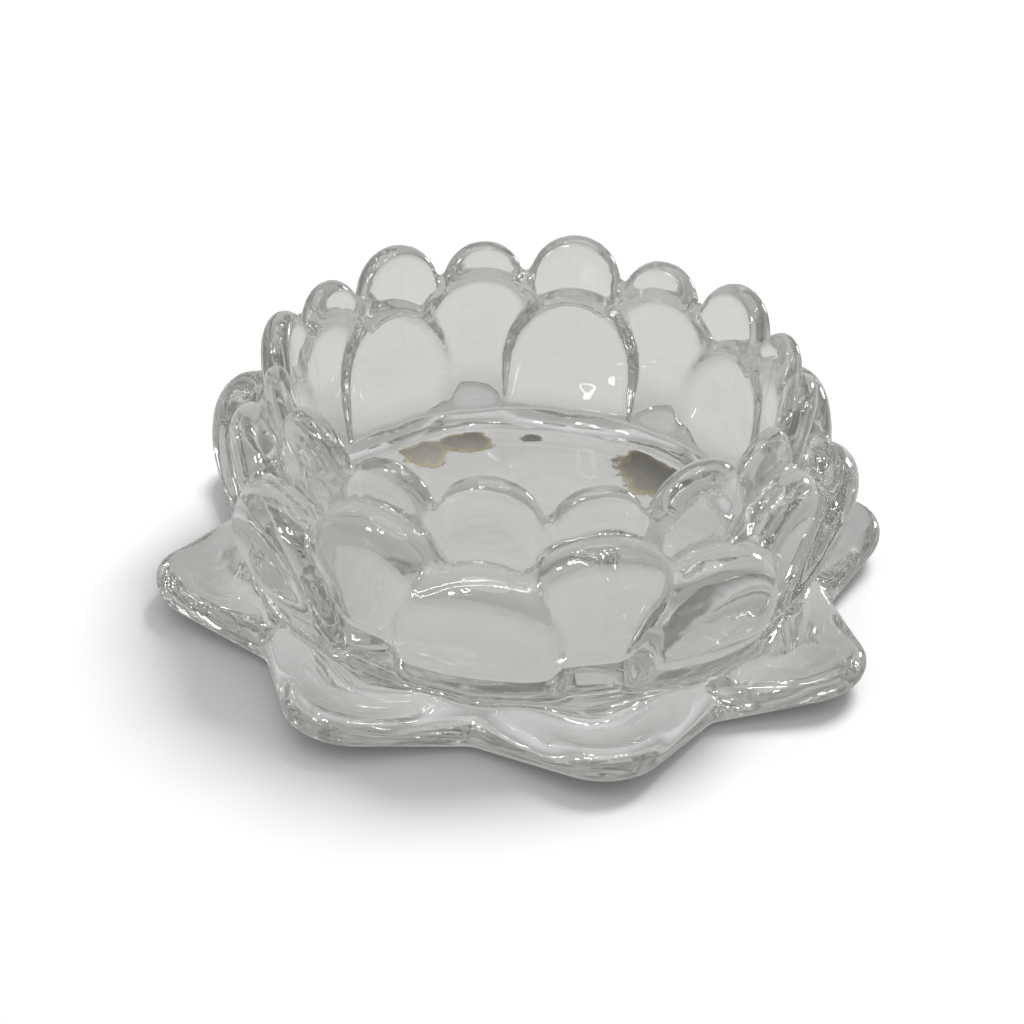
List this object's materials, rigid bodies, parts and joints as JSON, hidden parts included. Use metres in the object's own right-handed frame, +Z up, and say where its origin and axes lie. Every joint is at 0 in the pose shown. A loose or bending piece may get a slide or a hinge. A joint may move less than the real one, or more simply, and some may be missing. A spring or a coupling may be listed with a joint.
{
  "type": "floating candle bowl",
  "caption": "Clear glass lotus bowl: round cup with arched rim petals, bellied outer petals and spreading leaves, to hold water and a floating candle.",
  "frame": {"origin": "on the table under the bowl's axis", "axes": "+Z up along the bowl's axis; a leaf and an inner rim petal point along -Y, towards the front"},
  "size_m": [0.152, 0.152, 0.0545],
  "materials": {
    "clear_glass": "clear, fire-polished pressed glass"
  },
  "bodies": {
    "root": {"bowl_cup": "clear_glass", "rim_petal_outer_1": "clear_glass", "rim_petal_outer_2": "clear_glass", "rim_petal_outer_3": "clear_glass", "rim_petal_outer_4": "clear_glass", "rim_petal_outer_5": "clear_glass", "rim_petal_outer_6": "clear_glass", "rim_petal_outer_7": "clear_glass", "rim_petal_outer_8": "clear_glass", "rim_petal_inner_1": "clear_glass", "rim_petal_inner_2": "clear_glass", "rim_petal_inner_3": "clear_glass", "rim_petal_inner_4": "clear_glass", "rim_petal_inner_5": "clear_glass", "rim_petal_inner_6": "clear_glass", "rim_petal_inner_7": "clear_glass", "rim_petal_inner_8": "clear_glass", "middle_petal_1": "clear_glass", "middle_petal_2": "clear_glass", "middle_petal_3": "clear_glass", "middle_petal_4": "clear_glass", "middle_petal_5": "clear_glass", "middle_petal_6": "clear_glass", "middle_petal_7": "clear_glass", "middle_petal_8": "clear_glass", "lower_petal_1": "clear_glass", "lower_petal_2": "clear_glass", "lower_petal_3": "clear_glass", "lower_petal_4": "clear_glass", "lower_petal_5": "clear_glass", "lower_petal_6": "clear_glass", "lower_petal_7": "clear_glass", "lower_petal_8": "clear_glass", "leaf_1": "clear_glass", "leaf_2": "clear_glass", "leaf_3": "clear_glass", "leaf_4": "clear_glass", "leaf_5": "clear_glass", "leaf_6": "clear_glass", "leaf_7": "clear_glass", "leaf_8": "clear_glass"}
  },
  "joints": []
}
